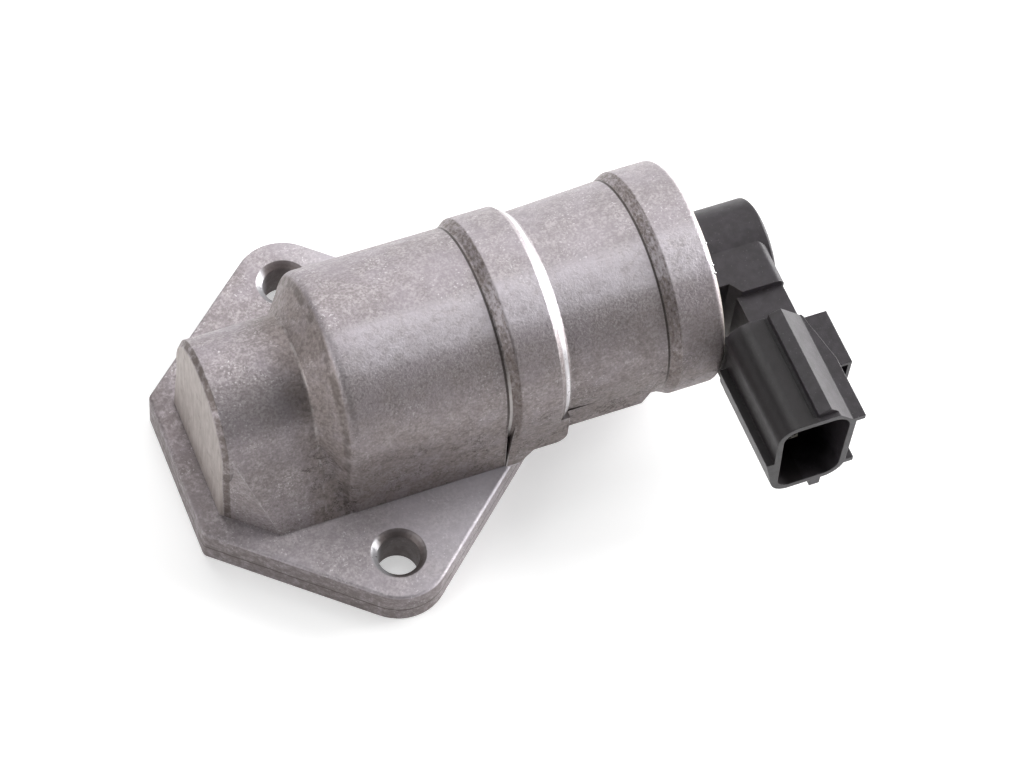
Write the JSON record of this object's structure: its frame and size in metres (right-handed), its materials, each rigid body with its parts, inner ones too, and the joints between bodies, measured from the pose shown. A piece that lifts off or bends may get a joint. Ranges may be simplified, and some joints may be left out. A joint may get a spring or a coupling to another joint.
{
  "type": "idle air control valve",
  "caption": "Idle air control valve: die-cast body on a diamond bolt flange, a round solenoid can with a crimped end, and a moulded socket that leads out sideways.",
  "frame": {"origin": "on the mating face, midway between the bolt holes", "axes": "+X along the barrel towards the socket end, +Z out of the mating face towards the barrel, socket mouth towards -Y"},
  "size_m": [0.1007, 0.0709, 0.038],
  "materials": {
    "cast_aluminium": "die-cast, mottled and lightly pitted, with bright machined lands",
    "turned_aluminium": "turned",
    "steel": "turned or drawn",
    "bronze": "plain sintered or drawn",
    "copper": "enamelled wire",
    "terminal_brass": "tinned",
    "rubber": "matt",
    "bobbin_plastic": "moulded",
    "black_plastic": "moulded, slight sheen"
  },
  "bodies": {
    "valve_body": {"valve_housing": "cast_aluminium", "front_guide_bush": "bronze", "valve_seat": "bronze", "partition_plate": "turned_aluminium", "partition_seal": "rubber", "rear_guide_bush": "bronze", "shaft_seal": "rubber", "solenoid_yoke": "steel", "spring_washer": "steel", "coil_bobbin": "bobbin_plastic", "coil_winding": "copper", "plunger_sleeve": "bronze", "pole_core": "steel", "plunger_shim": "bronze", "preload_screw": "steel", "return_spring": "steel", "front_spring": "steel", "end_plate": "steel", "end_seal": "rubber", "terminal_cap": "black_plastic", "terminal_upper": "terminal_brass", "terminal_lower": "terminal_brass"},
    "armature": {"valve_shaft": "steel", "valve_disc": "turned_aluminium", "disc_washer": "steel", "disc_clip": "steel", "plunger": "steel"}
  },
  "joints": [
    {"name": "valve_slide", "type": "slide", "parent": "valve_body", "child": "armature", "axis": [1, 0, 0], "range_m": [0, 0.003], "stiffness_N_per_m": 200, "deforming": ["return_spring", "front_spring"]}
  ]
}
